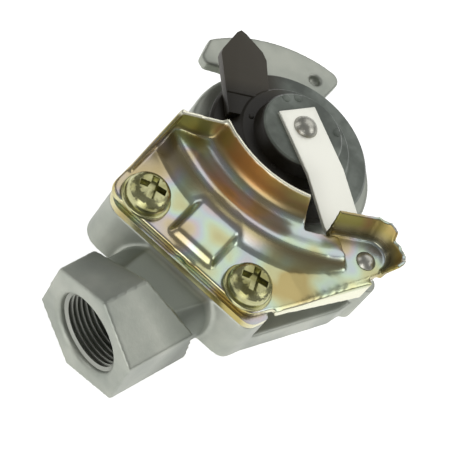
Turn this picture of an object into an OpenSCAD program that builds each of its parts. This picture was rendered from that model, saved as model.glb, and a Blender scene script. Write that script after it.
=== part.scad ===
// Palm type coupling head for a vehicle's compressed-air brake line.
// Frame: the origin lies on the coupling axis in the plane of the face seal, +Z is the
// normal of the coupling face and +X points away from the port along the claw plate.
// Millimetres.

/* [Air port] */
// Width across flats of the port's hexagon
port_af = 32; // [29:0.5:36]
// Length of the hexagon along the port's axis
port_hex_len = 18.5; // [16:0.5:20]
// Lean of the hexagon's far end, which falls away towards the block, in degrees
hex_lean = 13; // [8:1:16]
// Core diameter of the port's fine thread
port_thread_d = 20.38; // [16:0.02:22]
// Depth of the bevel at the bore's mouth
port_mouth = 1.9; // [1.2:0.1:2.4]
// Depth of the threaded bore
port_thread_len = 17; // [12:0.5:22]
// Distance of the port's end face behind the coupling axis
port_back = 86.4; // [82:0.2:92]
// Sideways place of the port's end face
port_side = 5.4; // [0:0.2:9]
// Depth of the port's end face below the coupling face
port_drop = 8.7; // [7:0.1:11]
// Turn of the port's axis away from the plate's axis, in degrees
port_yaw = 16.5; // [10:0.5:20]
// Fall of the port towards its mouth, in degrees
port_pitch = 8.5; // [4:0.5:10]
// Diameter of the round neck between hexagon and block
neck_d = 29; // [26:0.5:31]
// Diameter of the air passage from the port to the chamber
passage_d = 10; // [7:0.5:12]

/* [Casting] */
// Outer diameter of the round air chamber
chamber_d = 56; // [54:0.5:58]
// Depth of the chamber's outside below the coupling face
chamber_depth = 25; // [23:0.5:30]
// Height of the chamber's rim below the coupling face
rim_drop = 2.5; // [2:0.1:3.5]
// Diameter of the bore below the seal
chamber_bore_d = 26; // [20:0.5:30]
// Thickness of the chamber's floor
chamber_floor = 4; // [3:0.5:6]
// Radius of the round lower edge of the chamber
chamber_round = 6; // [3:0.5:8]
// Depth of the rear block's underside below the coupling face
block_drop = 10; // [8:0.5:12]
// Depth of the shelf's upper side below the coupling face
shelf_drop = 2; // [1.5:0.1:3.5]
// Corner radius of the rear block
block_round = 6; // [3:0.5:8]
// Radius of the rear block's hollow front face, round the coupling axis
slot_r = 44.5; // [44:0.1:46]
// Width of the stop at the end of the arm
stop_w = 6; // [4:0.5:7]
// Height of the stop above the coupling face
stop_top = 5; // [2:0.5:6]

/* [Coupling lug] */
// Outer radius of the crescent lug
lug_r = 42; // [40:0.2:43]
// Depth of the lug's gripped face below the coupling face
lug_drop = 4.3; // [3.5:0.1:5]
// Thickness of the lug
lug_t = 3.4; // [2.6:0.2:5]
// Angle where the lug starts, from +X towards +Y
lug_from = 5; // [0:1:12]
// Angle where the lug ends
lug_to = 73; // [66:1:78]
// Diameter of the detent hole in the lug
detent_d = 3.6; // [2:0.2:5]
// Depth of the detent hole
detent_depth = 2; // [1:0.2:2.4]
// Radius from the coupling axis to the detent hole
detent_r = 35; // [34:0.5:38]

/* [Face seal] */
// Outer diameter of the seal ring
seal_d = 40; // [37:0.5:42]
// Hole through the seal ring
seal_hole_d = 19; // [15:0.5:22]
// Height of the seal ring
seal_h = 8; // [6.5:0.1:9]
// Side clearance of the seal ring in its seat
seal_gap = 0.1; // [0.05:0.05:0.3]

/* [Claw plate] */
// Thickness of the pressed plate
plate_t = 2.2; // [1.8:0.1:2.6]
// Height of the plate's flat rear above the coupling face
flat_z = 10.5; // [10:0.1:12]
// Rise of the rib's crest above the flat rear
rib_rise = 5; // [4:0.1:6]
// Radius of the rib's crest round the coupling axis
rib_r = 41.7; // [40.5:0.1:42.5]
// Radius of the upstanding wall's outer side
wall_r = 31.2; // [30:0.1:32]
// Height of the wall's top edge above the coupling face
wall_z = 22.5; // [20:0.5:25]
// Angle where the round wall starts, from +X towards +Y
wall_from = 148; // [142:1:150]
// Angle where the round wall ends
wall_to = 212; // [208:1:214]
// Lean of the wall's far end, which runs back towards its top
wall_lean = 16; // [8:1:20]
// Thickness of the drawn walls at their top
wall_t = 1.2; // [1:0.1:1.6]
// Distance of the plate's rear edge behind the coupling axis
plate_back = 60.9; // [60:0.1:63]
// Distance from the plate's axis to its left edge
plate_left = 26.2; // [25:0.2:27]
// Angle of the plate's right edge to its axis
right_slope = 26.6; // [25:0.2:28]
// Angle where the rib stops short of the pivot
rib_to = 227; // [224:1:229]
// Width of the raised square pad
pad_w = 12.5; // [10:0.5:15]
// Height of the pad above the flat rear
pad_rise = 2.4; // [1.6:0.1:3.2]
// Thickness of the base plate under the claw plate
base_t = 2; // [1.5:0.1:2.4]

/* [Plate screws] */
// Distance between the two screws
screw_pitch = 35; // [34:0.5:36.5]
// Distance of the screws behind the coupling axis
screw_back = 55.2; // [54:0.2:56]
// Thread diameter of the screws
screw_d = 6; // [5:0.5:6]
// Head diameter of the screws
screw_head_d = 12.2; // [10.5:0.1:13]
// Height of the screw heads
screw_head_h = 4.2; // [3.6:0.1:5]
// Length of the screws under the head
screw_len = 15; // [12:0.5:17]
// Diameter of the washers under the heads
washer_d = 13.8; // [13:0.1:14.2]
// Thickness of those washers
washer_t = 1.2; // [0.8:0.1:1.6]
// Clearance round the screws' shanks
screw_gap = 0.15; // [0.1:0.05:0.3]

/* [Swinging cover] */
// Diameter of the cap's flange
cap_d = 48.4; // [46:0.2:50]
// Thickness of the flange
cap_flange_t = 3.2; // [2.4:0.1:4]
// Diameter of the cap's raised middle step
cap_step_d = 34; // [31:0.5:37]
// Height of the middle step above the flange
cap_step_h = 3.6; // [2.4:0.1:4.4]
// Diameter of the cap's top disc
cap_top_d = 24.6; // [22:0.2:27]
// Gap between the closed cap and the seal
cap_gap = 0.3; // [0.2:0.05:0.6]
// Width of the thumb tab
tab_w = 14; // [12:0.5:17]
// Thickness of the thumb tab
tab_t = 2.6; // [2:0.2:3]
// Length from the coupling axis to the tab's pointed tip, along the tab
tab_reach = 34.6; // [31:0.2:37]
// Direction of the tab, from +X towards +Y
tab_dir = 39.5; // [36:0.5:43]
// Distance of the tab's centre line from the coupling axis
tab_offset = 13.2; // [11:0.2:14]
// Width of the spring strip
strip_w = 12; // [10:0.2:13]
// Thickness of the spring strip
strip_t = 1.2; // [0.8:0.1:1.4]
// Length of the strip beyond the cap's rivet
strip_over = 6; // [5:0.2:8]
// Gap between the strip and the plate above it
strip_gap = 0.3; // [0.25:0.05:0.5]
// Drop of the strip from the cap to the pivot
strip_drop = 3; // [2:0.1:3.4]
// Head diameter of the cap's rivet
cap_rivet_d = 7.2; // [6:0.2:8]
// Shank diameter of the cap's rivet
cap_rivet_shank_d = 4; // [3:0.2:5]
// Diameter of the cup washer that closes the cap's rivet
cap_washer_d = 9; // [8:0.2:10.4]

/* [Cover pivot] */
// Distance from the coupling axis to the pivot
pivot_r = 42.3; // [41.8:0.1:43]
// Direction of the pivot, from +X towards +Y
pivot_dir = -121.2; // [-123:0.2:-120]
// Head diameter of the pivot rivet
pivot_head_d = 5.8; // [5:0.1:7]
// Shank diameter of the pivot rivet
pivot_d = 4.4; // [3.4:0.1:4.6]
// Running clearance between strip and shank, on the radius
pivot_gap = 0.06; // [0.04:0.01:0.1]
// Diameter of the washer under the strip
pivot_washer_d = 9.6; // [8:0.2:11]
// Thickness of that washer
pivot_washer_t = 1; // [0.8:0.1:1.4]
// Rise of the plate's wing from the flat rear to the pivot
wing_rise = 2.1; // [1.4:0.1:2.6]
// Distance from the pivot to the plate's right edge
wing_reach = 5.4; // [5:0.1:6]
// Radius of the curled lip's foot round the plate end
lip_r = 6.4; // [6:0.1:7]
// Lean of the curled lip away from the pivot
lip_flare = 1.9; // [1:0.1:2.4]
// Height of the curled lip above the plate end
lip_h = 7.4; // [5:0.2:9]
// Length of the lip's straight stretch towards the wall
lip_run = 11.8; // [9:0.2:13]
// Depth of the skirt turned down along the plate's right edge
skirt_h = 4; // [3:0.1:5]

/* [Hidden] */
$fn = 96;
// Gap where the casting's three pieces meet
seam = 0.02;
// Overlap that lets joined forms run into each other
weld = 0.4;
// Overcut of a hole past the face that it opens
cut = 1;

// Heights above the coupling face
base_z = flat_z - plate_t - base_t;
rib_z = flat_z + rib_rise;
end_z = flat_z + wing_rise;
groove_dip = 1.2;
tail_top = end_z - plate_t - strip_gap;
tail_z = tail_top - strip_t;
strip_z = tail_z + strip_drop;
strip_top = strip_z + strip_t;
cap_z = strip_z;
cap_washer_t = 0.8;
cap_washer_z = cap_gap + 2.4;
pivot_washer_gap = 0.2;
pivot_washer_z = tail_z - pivot_washer_gap - pivot_washer_t;

// Radii of the pressed rib and wall round the coupling axis
rib_foot_r = rib_r + 5.6;
groove_r = wall_r + 4.6;
bend_r = 3;
wall_tilt = 84;
profile_steps = 7;

// Place of the pivot and of the port
pivot = [pivot_r * cos(pivot_dir), pivot_r * sin(pivot_dir)];
port_face = [-port_back, port_side, -port_drop];
port_hex_d = port_af / cos(30);
neck_from = port_hex_len - neck_d / 4;
port_neck_len = port_back - plate_back + 21.5 - neck_from;

// Smooth step from 0 to 1
function ease(u) = u * u * (3 - 2 * u);
function unit(v) = v / norm(v);
function left_of(v) = [-v[1], v[0]];
function polar(r, a) = [r * cos(a), r * sin(a)];

// Closed outline of a bent sheet: points [r, z, tilt] on its upper face, with a thickness of their own
// where they have a fourth value
function thick(q, t) = len(q) > 3 ? q[3] : t;
function under(q, t) = [q[0] - thick(q, t) * sin(q[2]), q[1] - thick(q, t) * cos(q[2])];
function sheet(p, t) = concat([for (q = p) [q[0], q[1]]], [for (i = [len(p) - 1 : -1 : 0]) under(p[i], t)]);
// A polygon given as [x, y, corner radius] with round corners
function rounded(p, n = 7) = [for (i = [0 : len(p) - 1])
    let (c = p[i], a = p[(i + len(p) - 1) % len(p)], b = p[(i + 1) % len(p)],
         o = [c[0], c[1]],
         ua = unit([a[0], a[1]] - o),
         ub = unit([b[0], b[1]] - o),
         half = acos(ua * ub) / 2,
         mid = o + unit(ua + ub) * c[2] / sin(half),
         from = o + ua * c[2] / tan(half) - mid,
         to = o + ub * c[2] / tan(half) - mid,
         turn = atan2(from[0] * to[1] - from[1] * to[0], from * to),
         start = atan2(from[1], from[0]))
    each c[2] == 0 ? [o] : [for (k = [0 : n]) mid + polar(c[2], start + turn * k / n)]];

// Upper face of the claw plate on a line out of the coupling axis: rib and groove, then bend and wall.
// Each starts as a thinner tongue inside the sheet that it leaves.
groove_z = rib_z - groove_dip;
rib_line = concat(
    [[rib_foot_r + 0.45, flat_z - 0.15, 0, plate_t - 0.4]],
    [for (k = [1 : profile_steps]) let (u = k / profile_steps)
        [rib_foot_r + (rib_r - rib_foot_r) * u, flat_z + rib_rise * ease(u), 0]],
    [for (k = [1 : profile_steps]) let (u = k / profile_steps)
        [rib_r + (groove_r - rib_r) * u, rib_z - groove_dip * ease(u), 0]],
    [[groove_r - 0.9, groove_z, 0]]);
wall_line = concat(
    [[groove_r + 0.5, groove_z - 0.12, 0, plate_t - 0.3]],
    [for (k = [0 : profile_steps]) let (a = wall_tilt * k / profile_steps)
        [wall_r + bend_r - bend_r * sin(a), groove_z + bend_r - bend_r * cos(a), a]],
    [[wall_r - 0.6, wall_z, wall_tilt, wall_t]]);

// Plan of the claw plate; its inner side is bounded by the pressed profile itself
hood_side = [-rib_r + 7.7, plate_left];
climb_run = 18.5;
hood_front = polar(wall_r + 0.2, wall_from);
gate_x = -wall_r * cos(wall_to - 180) + 0.6;
// The right edge, its direction to the front and the outward normal
edge_out = [-sin(right_slope), -cos(right_slope)];
edge_in = -edge_out;
edge_front = [cos(right_slope), -sin(right_slope)];
wing_end = pivot + wing_reach * edge_out;
plate_right = -wing_end[1] - (plate_back + wing_end[0]) * tan(right_slope);
plate_plan = [
    [-plate_back, plate_left, 4.5],
    [-plate_back, -plate_right, 4.5],
    [wing_end[0], wing_end[1], 0],
    [pivot[0], pivot[1] + 10, 0],
    [gate_x, pivot[1] + 12, 0],
    [gate_x, wall_r * sin(wall_to), 0],
    [-12, -8, 0],
    [-12, 8, 0],
    [hood_front[0], hood_front[1], 0],
    [hood_side[0], hood_side[1], 0]];

// Plan of the wing: ramp beside the rib, then the plate end round the lip's centre
ramp_from = 24;
ramp_to = 9;
lip_at = pivot + [2.3, 0.1];
lip_turn = 40;
lip_tip = lip_at + polar(lip_r - 0.7, lip_turn) + polar(lip_run - 0.5, lip_turn + 90);
wing_r = rib_r + 2.8;
ramp_at = wing_end - ramp_from * edge_front;
ramp_land = 3.1877;
ramp_in = norm(ramp_at) - rib_r - ramp_land;
wing_plan = concat(
    [ramp_at - 3 * edge_front + 0.1 * edge_in],
    [for (a = [-90 - right_slope : 12 : lip_turn]) lip_at + polar(lip_r - 0.7, a)],
    [lip_tip, polar(groove_r - 0.6, rib_to - 1)],
    [for (a = [rib_to - 1 : -3 : rib_to - 22]) polar(wing_r, a)],
    [ramp_at + ramp_in * edge_in, ramp_at - 3 * edge_front + (ramp_in - 2) * edge_in]);

// Plan of the casting below the plates: the block under the screws and the arm below the slot
block_back = plate_back + 1.2;
block_left = plate_left - 0.8;
block_right = plate_right + 2.1;
block_plan = [
    [-block_back, block_left, block_round],
    [-block_back, -block_right, 4],
    [-screw_back - 0.8, -block_right - 2.1, 1.5],
    [-screw_back + 13.2, -screw_pitch / 2 + 2.5, 0],
    [-20, -14, 0],
    [-12, 0, 0],
    [-22, block_left, 0]];
stop_at = [pivot[0] + 1.5, pivot[1] - 4];
arm_plan = [
    [-block_back, block_left, block_round],
    [-block_back, -block_right, 4],
    [-screw_back - 0.8, -block_right - 2.1, 1.5],
    [wing_end[0] - 4, wing_end[1] + 1, 3],
    [stop_at[0] + 3.2, stop_at[1] - 2.2, 2.6],
    [stop_at[0] + 5.5, stop_at[1] + 7, 3],
    [-8, -20, 0],
    [-8, 20, 0],
    [-26, block_left, 3]];

screw_at = [for (s = [-1, 1]) [-screw_back, s * screw_pitch / 2]];

// Local frame of the port: +X runs from its mouth into the casting
module in_port() { translate(port_face) rotate([0, -port_pitch, -port_yaw]) children(); }
module along_x(h, d, from = 0) { translate([from, 0, 0]) rotate([0, 90, 0]) cylinder(h = h, d = d); }
// A hole through the plates at each screw
module at_screws() { for (p = screw_at) translate([p[0], p[1], 0]) children(); }

// Hexagon with a slanted far end, level with the block's rear in plan
module port_hex() {
    difference() {
        rotate([0, 90, 0]) cylinder(h = port_hex_len + port_af, d = port_hex_d, $fn = 6);
        translate([port_hex_len, 0, 0]) rotate([0, -hex_lean, port_yaw])
            translate([0, -2 * port_af, -2 * port_af]) cube(4 * port_af);
    }
}

// Neck of the port, which runs into the arm and ends at the riser above it
module port_neck() {
    round_end = [for (a = [0 : 15 : 75]) [neck_d / 2 * cos(a), port_neck_len + neck_d / 3 * sin(a)]];
    difference() {
        in_port() translate([neck_from, 0, 0]) rotate([0, 90, 0]) rotate_extrude()
            polygon(concat([[0, 0], [neck_d / 2, 0]], round_end, [[0, port_neck_len + neck_d / 3]]));
        translate([-block_back - seam, -2 * plate_left, -shelf_drop - 0.1])
            cube([plate_back, 4 * plate_left, neck_d]);
        translate([-port_back, -2 * plate_left, base_z - 0.5])
            cube([port_back - block_back + 1, 4 * plate_left, neck_d]);
    }
}

// Round chamber with a turned lower edge
module cup() {
    r = chamber_d / 2;
    q = chamber_round;
    arc = [for (a = [0 : 15 : 90]) [r - q + q * sin(a), -chamber_depth + q - q * cos(a)]];
    rim = [[r, -rim_drop - 0.8], [r - 0.8, -rim_drop], [0, -rim_drop]];
    rotate_extrude() polygon(concat([[0, -chamber_depth]], arc, rim));
}

// Crescent that the mating head grips, with its ends taken off round
module lug() {
    inner = chamber_d / 2 - 2;
    end_r = 3;
    plan = [for (a = [lug_from : (lug_to - lug_from) / 16 : lug_to - 8]) polar(lug_r, a)];
    outer = [for (i = [0 : len(plan) - 1]) [plan[i][0], plan[i][1], 0]];
    tip = polar(lug_r - 4.2, lug_to);
    back = polar(lug_r - 7, lug_to + 0.5);
    throat = polar(lug_r - 10, lug_to - 7);
    root = polar(inner, lug_to - 13);
    heel = polar(lug_r, lug_from - 1.5);
    toe = polar(inner, lug_from + 1);
    last = plan[len(plan) - 1];
    start_side = [[0, 0, 0], [toe[0], toe[1], 0], [heel[0], heel[1], end_r]];
    end_side = [[last[0], last[1], 1.5], [tip[0], tip[1], 1.2], [back[0], back[1], 1.2],
                [throat[0], throat[1], 1.5], [root[0], root[1], 0]];
    rim = [for (i = [2 : len(outer) - 2]) outer[i]];
    translate([0, 0, -lug_drop - lug_t]) linear_extrude(lug_t)
        polygon(rounded(concat(start_side, rim, end_side)));
}

// Air passage from the port to the middle of the chamber's bore
port_in = [cos(port_pitch) * cos(port_yaw), -cos(port_pitch) * sin(port_yaw), sin(port_pitch)];
passage_from = port_face + (port_thread_len - 4) * port_in;
passage_to = [0, 0, -chamber_depth + chamber_floor + passage_d / 2 + 0.6];
passage_run = passage_to - passage_from;
module along_passage(d, h) {
    translate(passage_from)
        rotate([0, acos(passage_run[2] / norm(passage_run)), atan2(passage_run[1], passage_run[0])])
        cylinder(h = h, d = d);
}

// Hole in the casting for each screw
module screw_holes() {
    at_screws() translate([0, 0, flat_z + washer_t - screw_len - 2])
        cylinder(h = screw_len + 9, d = screw_d + 2 * screw_gap);
}

// The casting's port, with the arm that carries the riser and reaches to the chamber
module body() {
    color("silver") difference() {
        union() {
            in_port() port_hex();
            port_neck();
            translate([0, 0, -block_drop]) linear_extrude(block_drop - shelf_drop)
                polygon(rounded(arm_plan));
            translate([stop_at[0], stop_at[1], -block_drop])
                cylinder(h = block_drop + stop_top, d = stop_w);
            intersection() {
                along_passage(passage_d + 11, norm(passage_run));
                translate([-port_back, -plate_left, -chamber_depth - 9])
                    cube([port_back, 2 * plate_left, chamber_depth + 6]);
            }
        }
        translate([0, 0, -2 * chamber_depth]) cylinder(h = 4 * chamber_depth, d = chamber_d + 2 * seam);
        in_port() {
            along_x(port_thread_len + cut, port_thread_d, -cut);
            translate([-0.01, 0, 0]) rotate([0, 90, 0])
                cylinder(h = port_mouth, d1 = port_thread_d + 2 * port_mouth, d2 = port_thread_d);
        }
        along_passage(passage_d, norm(passage_run));
        screw_holes();
    }
}

// The casting's riser between arm and base plate, hollowed round the slot
module riser() {
    color("silver") difference() {
        translate([0, 0, -shelf_drop]) linear_extrude(shelf_drop + base_z) difference() {
            polygon(rounded(block_plan));
            circle(r = slot_r);
        }
        screw_holes();
    }
}

// The casting's air chamber with the crescent lug
module chamber() {
    color("silver") difference() {
        union() {
            cup();
            lug();
        }
        translate([0, 0, -seal_h]) cylinder(h = seal_h + cut, d = seal_d + 2 * seal_gap);
        translate([0, 0, -chamber_depth + chamber_floor]) cylinder(h = chamber_depth, d = chamber_bore_d);
        along_passage(passage_d, norm(passage_run));
        translate(concat(polar(detent_r, lug_from + 8.5), [-lug_drop - detent_depth]))
            cylinder(h = detent_depth + cut, d = detent_d);
    }
}

// Flat plate that the claw plate is clamped on
module base_plate() {
    color("darkkhaki") translate([0, 0, base_z]) difference() {
        linear_extrude(base_t) difference() {
            polygon(rounded(block_plan));
            circle(r = slot_r);
        }
        at_screws() translate([0, 0, -cut]) cylinder(h = base_t + 2 * cut, d = screw_d + 2 * screw_gap);
    }
}

// Rib and groove turned round the coupling axis, kept inside the plate's plan
module rib() {
    intersection() {
        rotate([0, 0, 125]) rotate_extrude(angle = rib_to - 125) polygon(sheet(rib_line, plate_t));
        linear_extrude(wall_z + cut) polygon(rounded(plate_plan));
    }
}

// Upstanding wall that follows the rib on its inner side
module wall() {
    difference() {
        rotate([0, 0, wall_from]) rotate_extrude(angle = wall_to - wall_from)
            polygon(sheet(wall_line, plate_t));
        rotate([0, 0, wall_to]) translate([groove_r - 12, -0.2, groove_z + 0.6]) rotate([wall_lean, 0, 0])
            cube([16, 8, wall_z]);
    }
}

// Flat rear of the plate, up to the foot of the rib and just past the start of the ramp
module flat_rear() {
    translate([0, 0, flat_z - plate_t]) difference() {
        linear_extrude(plate_t) polygon(rounded(plate_plan));
        translate([0, 0, -cut]) cylinder(h = plate_t + 2 * cut, r = rib_foot_r - weld);
        translate([ramp_at[0], ramp_at[1], -cut]) rotate([0, 0, -right_slope])
            translate([2, -plate_left, 0])
            cube([plate_back, 2 * plate_left, plate_t + 2 * cut]);
    }
}

// Square pad with sloping sides that runs forward into the rib
module pad() {
    slope = 1.6;
    back = -plate_back + 3.6;
    front = -rib_r;
    mid_z = flat_z - plate_t / 2;
    top_z = flat_z + pad_rise;
    side = [[back - slope, mid_z], [back, top_z], [back + pad_w, top_z],
            [front, rib_z - 0.6], [front, rib_z - plate_t + 0.5], [-rib_foot_r, mid_z]];
    across = [[-pad_w / 2 - slope, mid_z], [pad_w / 2 + slope, mid_z], [pad_w / 2, top_z],
              [pad_w / 2 - slope / 3, rib_z + 1], [-pad_w / 2 + slope / 3, rib_z + 1], [-pad_w / 2, top_z]];
    intersection() {
        translate([0, pad_w, 0]) rotate([90, 0, 0]) linear_extrude(2 * pad_w) polygon(side);
        rotate([90, 0, 90]) translate([0, 0, -plate_back]) linear_extrude(plate_back) polygon(across);
    }
}

// Upturned left side that climbs to the front corner, and the corner's own wall
module hood() {
    x = hood_side[0];
    low = flat_z - plate_t + 0.15;
    climb = [[x - climb_run, low], [x - climb_run, flat_z - 0.1], [x - 0.5, wall_z - 0.9],
             [x + 1, wall_z - 0.6], [x + 1, flat_z + 1], [x - 6, low]];
    translate([0, plate_left - 0.06, 0]) rotate([90, 0, 0]) linear_extrude(wall_t) polygon(climb);
    run = hood_front - hood_side;
    inward = -wall_t * left_of(unit(run));
    corner = hood_front + 1.5 * unit(run);
    translate([0, 0, flat_z + 1]) linear_extrude(wall_z - flat_z - 1.6)
        polygon([hood_side + 0.4 * unit(run), corner + 0.07 * inward, corner + inward,
                 hood_side + inward]);
}

// Wing that climbs beside the rib to the plate end
module wing() {
    start = [-2, flat_z - 0.35, 0, plate_t - 0.5];
    rise = [start, [ramp_from - ramp_to, end_z, 0], [ramp_from + 4 * lip_r, end_z, 0]];
    intersection() {
        translate([ramp_at[0], ramp_at[1], 0]) rotate([90, 0, -right_slope])
            translate([0, 0, -plate_back]) linear_extrude(2 * plate_back) polygon(sheet(rise, plate_t));
        linear_extrude(wall_z) polygon(wing_plan);
    }
}

// Step that ends the rib above the plate end
module rib_step() {
    floor_z = end_z - plate_t + 0.4;
    inner = groove_r - 0.75;
    top = [for (q = rib_line) if (q[1] > end_z - 1 && q[0] > groove_r) [q[0], q[1] - 0.08]];
    rotate([0, 0, rib_to - 0.8]) rotate_extrude(angle = 2.6)
        polygon(concat(top, [[inner, groove_z - 0.08], [inner, floor_z], [top[0][0], floor_z]]));
}

// Lip that curls up round the plate end and runs on straight towards the wall
module lip() {
    from = -112;
    fall = 24;
    foot_z = end_z - plate_t + 0.3;
    crown_z = end_z + lip_h;
    crown_r = lip_r + lip_flare;
    tail_h = 0.55 * lip_h;
    curl = [[lip_r - 1.6, foot_z], [lip_r, foot_z], [lip_r + 0.2, end_z + 1], [crown_r, crown_z],
            [crown_r - wall_t, crown_z], [lip_r - 1.3, end_z + 1.2], [lip_r - 1.6, end_z - 0.4]];
    run = [[lip_r - 1.5, foot_z + 0.2], [lip_r - 0.1, foot_z + 0.2], [lip_r + 0.1, end_z + 1],
           [crown_r - 0.2, crown_z - 0.1], [crown_r - wall_t + 0.1, crown_z - 0.1],
           [lip_r - 1.2, end_z + 1.2], [lip_r - 1.5, end_z - 0.5]];
    translate([lip_at[0], lip_at[1], 0]) {
        difference() {
            rotate([0, 0, from]) rotate_extrude(angle = lip_turn - from) polygon(curl);
            rotate([0, 0, from]) translate([0, 0, end_z + tail_h]) rotate([0, -fall, 0])
                translate([0, -4 * lip_r, 0]) cube([4 * lip_r, 8 * lip_r, 4 * lip_h]);
        }
        difference() {
            rotate([90, 0, lip_turn]) translate([0, 0, -lip_run]) linear_extrude(lip_run + 1) polygon(run);
            rotate([0, 0, lip_turn]) translate([0, lip_run, end_z + 1]) rotate([-55, 0, 0])
                translate([-lip_r, 0, 0]) cube([4 * lip_r, lip_run, 2 * lip_h]);
        }
    }
}

// Skirt turned down outside the right edge, deepest at the plate end
module right_skirt() {
    skirt_t = 1.3;
    run = norm([-plate_back, -plate_right] - wing_end);
    low = flat_z - plate_t - skirt_h;
    side = [[1, low], [run - 9, flat_z - plate_t - 0.8], [run - 8, flat_z - 0.5], [ramp_from, flat_z - 0.5],
            [ramp_to, end_z - 0.5], [1, end_z - 0.5]];
    translate([wing_end[0], wing_end[1], 0]) rotate([90, 0, 180 - right_slope])
        translate([0, 0, -skirt_t + 0.2]) linear_extrude(skirt_t) polygon(side);
}

module claw_plate() {
    color("goldenrod") difference() {
        union() {
            flat_rear();
            rib();
            wall();
            rib_step();
            pad();
            hood();
            wing();
            lip();
            right_skirt();
        }
        at_screws() translate([0, 0, flat_z - plate_t - cut])
            cylinder(h = plate_t + 2 * cut, d = screw_d + 2 * screw_gap);
        at_screws() translate([0, 0, flat_z]) cylinder(h = 2 * washer_t, d = washer_d + 0.6);
        translate([pivot[0], pivot[1], 0]) cylinder(h = end_z + cut, d = pivot_d);
    }
}

// Cross-recessed pan head screws
module plate_screws() {
    edge = 3.1;
    dome = [for (a = [0 : 15 : 90])
        [screw_head_d / 2 - edge + edge * cos(a), screw_head_h - edge + edge * sin(a)]];
    slot_w = 2;
    slot_l = 7.4;
    color("khaki") at_screws() translate([0, 0, flat_z + washer_t]) difference() {
        union() {
            rotate_extrude()
                polygon(concat([[0, 0], [screw_head_d / 2, 0]], dome, [[0, screw_head_h + 0.5]]));
            translate([0, 0, -screw_len]) cylinder(h = screw_len + weld, d = screw_d);
        }
        for (a = [20, 110]) rotate([0, 0, a]) translate([-slot_l / 2, -slot_w / 2, screw_head_h - 2.2])
            cube([slot_l, slot_w, 4]);
    }
}

module screw_washers() {
    color("khaki") at_screws() translate([0, 0, flat_z]) difference() {
        cylinder(h = washer_t, d = washer_d);
        translate([0, 0, -cut]) cylinder(h = washer_t + 2 * cut, d = screw_d + 2 * screw_gap);
    }
}

// Rubber ring with a raised sealing lip round its hole
module face_seal() {
    r = seal_d / 2;
    h = seal_hole_d / 2;
    color("dimgray") rotate_extrude()
        polygon([[h, -seal_h], [r, -seal_h], [r, -rim_drop], [r - 1.2, -1.2],
                 [h + 4.5, -1.2], [h + 3, 0], [h + 0.8, 0], [h, -0.8]]);
}

// Moulded cap: flange, step and top disc, with the thumb tab on the step
module dust_cap() {
    flange_z = cap_gap + cap_flange_t;
    step_z = flange_z + cap_step_h;
    soft = 0.8;
    tab_root = 5;
    tab_z = flange_z + 0.4;
    profile = [
        [0, cap_gap],
        [cap_d / 2 - soft, cap_gap],
        [cap_d / 2, cap_gap + soft],
        [cap_d / 2, flange_z - soft],
        [cap_d / 2 - soft, flange_z],
        [cap_step_d / 2 + 1.6, flange_z],
        [cap_step_d / 2, step_z - soft],
        [cap_step_d / 2 - soft, step_z],
        [cap_top_d / 2 + 0.6, step_z],
        [cap_top_d / 2, cap_z - soft],
        [cap_top_d / 2 - soft, cap_z],
        [0, cap_z]];
    tab_plan = [
        [tab_root, -tab_w / 2 + 0.6],
        [tab_reach - 9, -tab_w / 2],
        [tab_reach - 6.4, -tab_w / 2 + 0.9],
        [tab_reach - 1, -1.4],
        [tab_reach, 0],
        [tab_reach - 1, 1.4],
        [tab_reach - 8, tab_w / 2 - 0.5],
        [tab_reach - 9.5, tab_w / 2],
        [tab_root, tab_w / 2 - 0.6]];
    color("black") difference() {
        union() {
            rotate_extrude() polygon(profile);
            rotate([0, 0, tab_dir]) translate([0, tab_offset, tab_z])
                linear_extrude(tab_t) polygon(tab_plan);
        }
        cylinder(h = cap_z + cut, d = cap_rivet_shank_d);
        cylinder(h = cap_washer_z + cap_washer_t, d = cap_washer_d + 1.2);
    }
}

// Strip from beyond the cap's rivet, bent down between cap and plate, to the pivot
module cover_spring() {
    end_r = wing_reach - 0.6;
    bend_from = cap_top_d / 2 + 2;
    bend_to = pivot_r - 13;
    rise = [[-strip_over, strip_top, 0], [bend_from, strip_top, 0], [bend_to, tail_top, 0],
            [pivot_r + strip_w, tail_top, 0]];
    plan = [[-strip_over, -strip_w / 2], [bend_to, -strip_w / 2], [pivot_r, -end_r],
            [pivot_r, end_r], [bend_to, strip_w / 2], [-strip_over, strip_w / 2]];
    color("white") difference() {
        rotate([0, 0, pivot_dir]) intersection() {
            translate([0, strip_w, 0]) rotate([90, 0, 0]) linear_extrude(2 * strip_w)
                polygon(sheet(rise, strip_t));
            linear_extrude(strip_top + cut) union() {
                polygon(plan);
                translate([pivot_r, 0]) circle(r = end_r);
            }
        }
        cylinder(h = strip_top + cut, d = cap_rivet_shank_d);
        translate([pivot[0], pivot[1], 0]) cylinder(h = strip_top + cut, d = pivot_d + 2 * pivot_gap);
    }
}

// Mushroom head, shank and closing head of a rivet, standing on z = 0
module rivet(head_d, head_h, shank_d, grip, tail_d, tail_h) {
    sphere_r = (head_d * head_d / 4 + head_h * head_h) / (2 * head_h);
    edge = 90 - asin(head_d / 2 / sphere_r);
    dome = [for (k = [0 : 8]) let (a = edge + (90 - edge) * k / 8)
        [sphere_r * cos(a), head_h - sphere_r + sphere_r * sin(a)]];
    low = -grip - tail_h;
    tail = [[0, low], [tail_d / 2 - 0.3, low], [tail_d / 2, low + 0.3], [tail_d / 2, -grip]];
    rotate_extrude() polygon(concat(tail, [[shank_d / 2, -grip], [shank_d / 2, 0]], dome));
}

module cap_rivet() {
    color("gray") translate([0, 0, strip_top])
        rivet(cap_rivet_d, 2.4, cap_rivet_shank_d, strip_top - cap_washer_z, 6.4, 1.2);
}
module cap_rivet_washer() {
    color("gray") translate([0, 0, cap_washer_z]) difference() {
        cylinder(h = cap_washer_t, d = cap_washer_d);
        translate([0, 0, -cut]) cylinder(h = cap_washer_t + 2 * cut, d = cap_rivet_shank_d);
    }
}

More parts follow.
